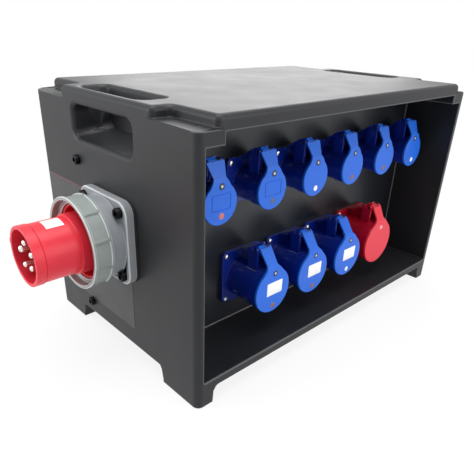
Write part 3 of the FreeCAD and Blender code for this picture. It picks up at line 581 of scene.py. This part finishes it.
def facing(spot, outward):
    """Places mesh work at a spot, with its depth along an outward direction."""
    axis = Vector(outward)
    side = Vector((1, 0, 0)) if abs(axis.x) < 0.5 else Vector((0, 1, 0))
    return oriented(Vector(spot), side, axis.cross(side), axis)


def on_lid(lid, right, up, proud=0.0):
    """Places mesh work on a lid's face, by how far right and up of the lid's middle."""
    return facing(lid.middle + Vector((right, -proud, up)), (0, -1, 0))


def on_knuckle(lid, right, degrees):
    """Places mesh work on a lid's hinge knuckle, by how far right of its middle and how far up."""
    lean = math.radians(degrees)
    up = Vector((0, math.sin(lean), math.cos(lean)))
    outward = Vector((0, -math.cos(lean), math.sin(lean)))
    side = Vector((1, 0, 0))
    return oriented(lid.hinge + outward * knuckle_radius + side * right, side, up, outward)


def patch(name, outline, top_outline, height, place, body, material):
    """A thin raised patch with a broken top edge, such as a sticker or a moulded pad."""
    work = bmesh.new()
    shoulder = height * (1 - patch_edge_share)
    lofted(work, [(outline, 0), (outline, shoulder), (top_outline, height)], place)
    return finished_piece(name, work, body, material)


def plate_patch(name, width, height, radius, thickness, place, body, material):
    """A patch with the outline of a rounded rectangle."""
    edge = thickness * patch_edge_share
    outline = rounded_rectangle(width, height, radius)
    top_outline = rounded_rectangle(width - 2 * edge, height - 2 * edge, radius - edge)
    return patch(name, outline, top_outline, thickness, place, body, material)


def round_patch(name, radius, thickness, place, body, material):
    """A patch with the outline of a circle."""
    top_outline = circle(radius - thickness * patch_edge_share)
    return patch(name, circle(radius), top_outline, thickness, place, body, material)


def cap_screws(node, head_height):
    """Socket head screws along the x axis: chamfered heads with a hexagon socket half as deep."""
    work = bmesh.new()
    chamfer = head_height / 9
    shank = circle(screw_shank_radius, screw_sides)
    recess = hexagon(hexagon_half_flat)
    for low, high in solid_boxes(node):
        middle = (low + high) / 2
        side = math.copysign(1, middle.x)
        seat_x = (high.x if side > 0 else low.x) - side * head_height
        head = (high.z - low.z) / 2
        length = high.x - low.x - head_height
        loops = [
            (shank, -length),
            (shank, 0),
            (circle(head, screw_sides), 0),
            (circle(head, screw_sides), head_height - chamfer),
            (circle(head - chamfer, screw_sides), head_height),
            (recess, head_height),
            (recess, head_height / 2),
        ]
        lofted(work, loops, facing((seat_x, middle.y, middle.z), (side, 0, 0)))
    stand_in(node, work)


def socket_screws():
    """Pan head screws with a cross recess on the socket flanges, by shares of a head's own size."""
    work = bmesh.new()
    for low, high in solid_boxes("socket_screws"):
        head = (high.x - low.x) / 2
        height = high.y - low.y
        seat = ((low.x + high.x) / 2, high.y, (low.z + high.z) / 2)
        loops = [
            (circle(head), 0),
            (circle(head), height * 0.3),
            (circle(head * 0.93), height * 0.6),
            (circle(head * 0.78), height * 0.85),
            (cross(head * 0.58, head * 0.2), height),
            (cross(head * 0.48, head * 0.12), height * 0.4),
        ]
        lofted(work, loops, facing(seat, (0, -1, 0)))
    stand_in("socket_screws", work)


def inlet_pins():
    """Plated contact pins with domed tips, which reach almost to the mouth of the shroud."""
    work = bmesh.new()
    dome_share = 0.8
    for low, high in solid_boxes("inlet_pins"):
        radius = (high.z - low.z) / 2
        length = high.x - low.x + pin_tip_reach
        dome = dome_share * radius
        loops = [(circle(radius), 0)]
        for degrees in range(0, 90, 15):
            lean = math.radians(degrees)
            loops.append((circle(radius * math.cos(lean)), length - dome + dome * math.sin(lean)))
        middle = (low + high) / 2
        lofted(work, loops, facing((high.x, middle.y, middle.z), (-1, 0, 0)))
    stand_in("inlet_pins", work)


def lid_springs():
    """Torsion springs wound from wire on the hinge pins."""
    work = bmesh.new()
    wire = 0.55
    wire_sides = 8
    turns = 4.5
    steps = 18
    for low, high in solid_boxes("lid_springs"):
        coil = (high.z - low.z) / 2 - wire
        middle = (low + high) / 2
        travel = high.x - low.x - 2 * wire
        rows = []
        for i in range(int(turns * steps) + 1):
            turn = 2 * math.pi * i / steps
            outward = Vector((0, math.cos(turn), math.sin(turn)))
            along = low.x + wire + travel * i / (turns * steps)
            centre = Vector((along, middle.y, middle.z)) + outward * coil
            row = []
            for k in range(wire_sides):
                lean = 2 * math.pi * k / wire_sides
                spot = centre + outward * wire * math.cos(lean) + Vector((wire * math.sin(lean), 0, 0))
                row.append(work.verts.new(spot * mm))
            rows.append(row)
        for near, far in zip(rows, rows[1:]):
            for k in range(wire_sides):
                j = (k + 1) % wire_sides
                work.faces.new((near[k], near[j], far[j], far[k]))
        work.faces.new(rows[0][::-1])
        work.faces.new(rows[-1])
    stand_in("lid_springs", work)


def moulded_mark(lid):
    """The plain round mark near the top of a lid's face."""
    place = small_mark_place if lid.small else large_mark_place
    ring = red_mark_ring if lid.number == red_lid else mark_ring
    name = "lid_mark_ring_%d" % lid.number
    round_patch(name, mark_ring_radius, mark_ring_rise, on_lid(lid, *place), lid.node, ring)
    name = "lid_mark_dot_%d" % lid.number
    inner = on_lid(lid, *place, proud=mark_ring_rise)
    round_patch(name, mark_dot_radius, mark_dot_rise, inner, lid.node, mark_dot)


def paper_dot(lid):
    """The round paper sticker near the bottom of a lid's face."""
    place = small_dot_place if lid.small else large_dot_place
    paper = dot_papers[dot_of_lid[lid.number]]
    name = "lid_paper_dot_%d" % lid.number
    round_patch(name, paper_dot_radius, paper_dot_thickness, on_lid(lid, *place), lid.node, paper)


def raised_frame(lid):
    """A moulded frame for a sticker on a lid's face, from its outer foot over to its inner one."""
    work = bmesh.new()
    loops = [
        (rounded_rectangle(31, 21, 1.5), 0),
        (rounded_rectangle(30.6, 20.6, 1.4), frame_rise),
        (rounded_rectangle(29.0, 19.0, 0.8), frame_rise),
        (rounded_rectangle(28.6, 18.6, 0.7), 0),
    ]
    lofted(work, loops, on_lid(lid, *frame_place), closed=True)
    finished_piece("lid_frame_%d" % lid.number, work, lid.node, lid.finish)


def bare_sticker(lid):
    """The white sticker on a lid's face, without print."""
    place = on_lid(lid, *sticker_place)
    name = "lid_sticker_%d" % lid.number
    plate_patch(name, sticker_width, sticker_height, 1.0, sticker_thickness, place, lid.node, white_paper)


def knuckle_ribs(lid):
    """Two moulded ribs along a lid's hinge knuckle."""
    length = neck_width - spring_room - rib_end_gap
    for number, degrees in enumerate(rib_angles, 1):
        name = "lid_rib_%d_%d" % (lid.number, number)
        place = on_knuckle(lid, -spring_room / 2, degrees)
        plate_patch(name, length, rib_width, rib_corner, rib_rise, place, lid.node, lid.finish)


def lid_faces():
    """What sits on each lid: the mark, the hinge's ribs, the paper dot, a sticker or a frame for one."""
    for lid in lids:
        moulded_mark(lid)
        knuckle_ribs(lid)
        if lid.number in dot_of_lid:
            paper_dot(lid)
        if lid.number in framed_lids:
            raised_frame(lid)
        if lid.number in stickered_lids:
            bare_sticker(lid)


def shroud_sticker():
    """A bare sticker wrapped on top of the inlet's shroud."""
    work = bmesh.new()
    ends = (74.0, 96.5)
    lean_from, lean_to = -24.0, 6.0
    steps = 10
    glue = 0.02
    rows = []
    for lift in (glue, glue + sticker_thickness):
        radius = shroud_radius + lift
        row = []
        for i in range(steps + 1):
            lean = math.radians(lean_from + (lean_to - lean_from) * i / steps)
            for distance in ends:
                y = inlet_y + radius * math.sin(lean)
                z = inlet_z + radius * math.cos(lean)
                row.append(work.verts.new(Vector((wall_x - distance, y, z)) * mm))
        rows.append(row)
    low, high = rows
    for i in range(0, 2 * steps, 2):
        work.faces.new((high[i], high[i + 1], high[i + 3], high[i + 2]))
        work.faces.new((low[i], low[i + 2], low[i + 3], low[i + 1]))
        for k in (0, 1):
            work.faces.new((low[i + k], high[i + k], high[i + 2 + k], low[i + 2 + k]))
    for i in (0, 2 * steps):
        work.faces.new((low[i], low[i + 1], high[i + 1], high[i]))
    finished_piece("shroud_sticker", work, "case", white_paper)


def side_label():
    """A bare film on the left wall, cut round the inlet's flange, with a thin line along its top."""
    cut_rear = inlet_y + inlet_flange_half + label_gap
    cut_low = inlet_z - inlet_flange_half - label_gap
    outline = [
        (label_front, label_low), (label_rear, label_low), (label_rear, label_high),
        (cut_rear, label_high), (cut_rear, cut_low), (label_front, cut_low),
    ]
    work = bmesh.new()
    sheets = []
    for x in (wall_x, wall_x - label_thickness):
        sheets.append([work.verts.new(Vector((x, y, z)) * mm) for y, z in outline])
        work.faces.new(sheets[-1])
    under, over = sheets
    for i in range(len(outline)):
        j = (i + 1) % len(outline)
        work.faces.new((under[i], under[j], over[j], over[i]))
    finished_piece("side_label", work, "case", label_film)
    middle = (label_rear + cut_rear) / 2
    place = facing((wall_x - label_thickness, middle, label_high - label_line_width), (-1, 0, 0))
    length = label_rear - cut_rear - 2 * label_gap
    plate_patch("side_label_line", length, label_line_width, 0.3, 0.1, place, "case", line_film)


def panel_bead():
    """The bead of sealant where the front panel meets the case."""
    work = bmesh.new()
    width, height = 2 * panel_half_width, panel_high - panel_low
    outer = rounded_rectangle(width, height, panel_corner)
    inner = rounded_rectangle(width - 2 * bead_size, height - 2 * bead_size, panel_corner - bead_size)
    place = facing((0, panel_y, (panel_low + panel_high) / 2), (0, -1, 0))
    lofted(work, [(outer, 0), (outer, bead_size * 0.6), (inner, 0)], place, closed=True)
    finished_piece("panel_bead", work, "case", sealant)


def device_marks():
    """Small indicator windows under the levers of the rear breakers."""
    nose_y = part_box("breaker_bodies")[1].y / mm
    for number in range(1, breaker_count + 1):
        lever = hinge_of_body["breaker_lever_%d" % number]
        place = facing((lever.x, nose_y, lever.z - indicator_drop), (0, 1, 0))
        name = "breaker_indicator_%d" % number
        plate_patch(name, indicator_width, indicator_height, 0.4, 0.2, place, "case", indicator_film)


def carried_over():
    """Gives the solids that stay as they are their finishes."""
    for node, solid in frame["nodes"].items():
        solid.data.materials.clear()
        solid.data.materials.append(finishes[slot_of_node[node]])


def seen_directly(tree):
    """1 for the rays that show the surround itself: straight, in a gloss or through something clear."""
    path = add(tree, "ShaderNodeLightPath").outputs
    share = path["Is Camera Ray"]
    for kind in ("Is Glossy Ray", "Is Transmission Ray"):
        inputs = {0: share, 1: path[kind]}
        share = add(tree, "ShaderNodeMath", inputs, operation="ADD", use_clamp=True).outputs[0]
    return share


def studio_floor():
    """A pale floor that keeps the part's shadow and turns to plain white further out."""
    mesh = bpy.data.meshes.new("floor")
    work = bmesh.new()
    bmesh.ops.create_grid(work, x_segments=1, y_segments=1, size=floor_reach)
    work.to_mesh(mesh)
    work.free()
    floor = bpy.data.objects.new("floor", mesh)
    bpy.context.scene.collection.objects.link(floor)
    material = bpy.data.materials.new("studio_floor")
    material.use_nodes = True
    tree = material.node_tree
    tree.nodes.clear()
    place = add(tree, "ShaderNodeTexCoord").outputs["Object"]
    away = add(tree, "ShaderNodeVectorMath", {0: place}, operation="LENGTH").outputs["Value"]
    reach = {"From Min": shadow_reach, "From Max": white_reach, "To Min": shadow_whiteness, "To Max": 1.0}
    whiter = add(tree, "ShaderNodeMapRange", {"Value": away, **reach}).outputs[0]
    inputs = {0: seen_directly(tree), 1: whiter}
    share = add(tree, "ShaderNodeMath", inputs, operation="MULTIPLY").outputs[0]
    paint = add(tree, "ShaderNodeBsdfDiffuse", {"Color": linear("f4f4f4")})
    glow = add(tree, "ShaderNodeEmission", {"Color": linear("ffffff"), "Strength": 1.0})
    mixed = add(tree, "ShaderNodeMixShader", {0: share, 1: paint.outputs[0], 2: glow.outputs[0]})
    add(tree, "ShaderNodeOutputMaterial", {"Surface": mixed.outputs[0]})
    mesh.materials.append(material)


def studio_surround():
    """A soft white surround, which shows as plain white where it is seen itself."""
    world = bpy.data.worlds.new("studio")
    bpy.context.scene.world = world
    world.use_nodes = True
    tree = world.node_tree
    tree.nodes.clear()
    inputs = {"Value": seen_directly(tree), "To Min": surround_strength, "To Max": 1.0}
    strength = add(tree, "ShaderNodeMapRange", inputs).outputs[0]
    sky = add(tree, "ShaderNodeBackground", {"Color": linear("ffffff"), "Strength": strength})
    add(tree, "ShaderNodeOutputWorld", {"Surface": sky.outputs[0]})


def studio_lamps():
    """Soft square lamps, each with its place, target and width in metres and its power in watts."""
    lamps = [
        ("lamp_above", (-0.3, -0.2, 1.9), (0, 0, 0.2), 1.6, 36.0),
        ("lamp_left", (-2.4, 1.1, 0.9), (-0.3, 0, 0.2), 1.5, 42.0),
        ("lamp_front", (0.6, -2.1, 0.95), (0, -0.1, 0.2), 1.4, 23.5),
        ("lamp_behind", (1.9, 1.9, 1.6), (0, 0, 0.37), 2.2, 40.0),
    ]
    for name, place, target, size, power in lamps:
        lamp = bpy.data.lights.new(name, "AREA")
        lamp.shape = "SQUARE"
        lamp.size = size
        lamp.energy = power
        holder = bpy.data.objects.new(name, lamp)
        holder.location = place
        holder.rotation_euler = (Vector(target) - Vector(place)).to_track_quat("-Z", "Y").to_euler()
        holder.visible_camera = False
        bpy.context.scene.collection.objects.link(holder)


def photo_camera():
    """The camera where the photograph was taken from."""
    turn = math.radians(camera_azimuth)
    tilt = math.radians(camera_elevation)
    roll = math.radians(camera_roll)
    right = Vector((math.cos(turn), math.sin(turn), 0))
    back = Vector((math.sin(turn) * math.cos(tilt), -math.cos(turn) * math.cos(tilt), math.sin(tilt)))
    up = back.cross(right)
    across = right * math.cos(roll) + up * math.sin(roll)
    upward = up * math.cos(roll) - right * math.sin(roll)
    camera = bpy.data.cameras.new("photo_camera")
    camera.lens = camera_lens
    camera.shift_x, camera.shift_y = camera_shift
    holder = bpy.data.objects.new("photo_camera", camera)
    matrix = Matrix((across, upward, back)).transposed().to_4x4()
    matrix.translation = Vector(camera_place) * mm
    holder.matrix_world = matrix
    bpy.context.scene.collection.objects.link(holder)
    bpy.context.scene.camera = holder


def broken_solids():
    """The solids whose edges are broken, by how many millimetres and in how many steps."""
    # The case and the inlet get a paler colour on their broken edges: some rubbing and a painted highlight
    broken_edges("case_shell", 2.0, 3, rubbed_and_highlit_edge)
    broken_edges("front_panel", 0.4)
    broken_edges("rear_panel", 0.5)
    # The inlet's housing and ring carry a painted highlight on their broken edges
    broken_edges("inlet_housing", 1.6, 3, painted_highlight_edge)
    broken_edges("inlet_ring", 1.0, 2, painted_highlight_edge)
    broken_edges("inlet_shroud", 0.8)
    broken_edges("inlet_carrier", 0.6)
    broken_edges("socket_inserts", 0.5)
    broken_edges("window_frame", 0.8)
    broken_edges("window_cover", 0.8)
    for node in ("rcd_body", "breaker_4p_body", "breaker_bodies", "rcd_lever", "breaker_4p_lever"):
        broken_edges(node, 0.5)
    broken_edges("rcd_test_button", 0.5)
    for number in range(1, breaker_count + 1):
        broken_edges("breaker_lever_%d" % number, 0.5)
    for number in range(1, socket_count + 1):
        broken_edges("socket_body_%d" % number, 0.5)
        broken_edges("socket_lid_%d" % number, 0.6)


carried_over()
broken_solids()
cap_screws("side_screws", side_head_height)
cap_screws("inlet_screws", inlet_head_height)
socket_screws()
inlet_pins()
lid_springs()
lid_faces()
shroud_sticker()
side_label()
panel_bead()
device_marks()
studio_floor()
studio_surround()
studio_lamps()
photo_camera()
bpy.context.scene.view_settings.view_transform = "Standard"
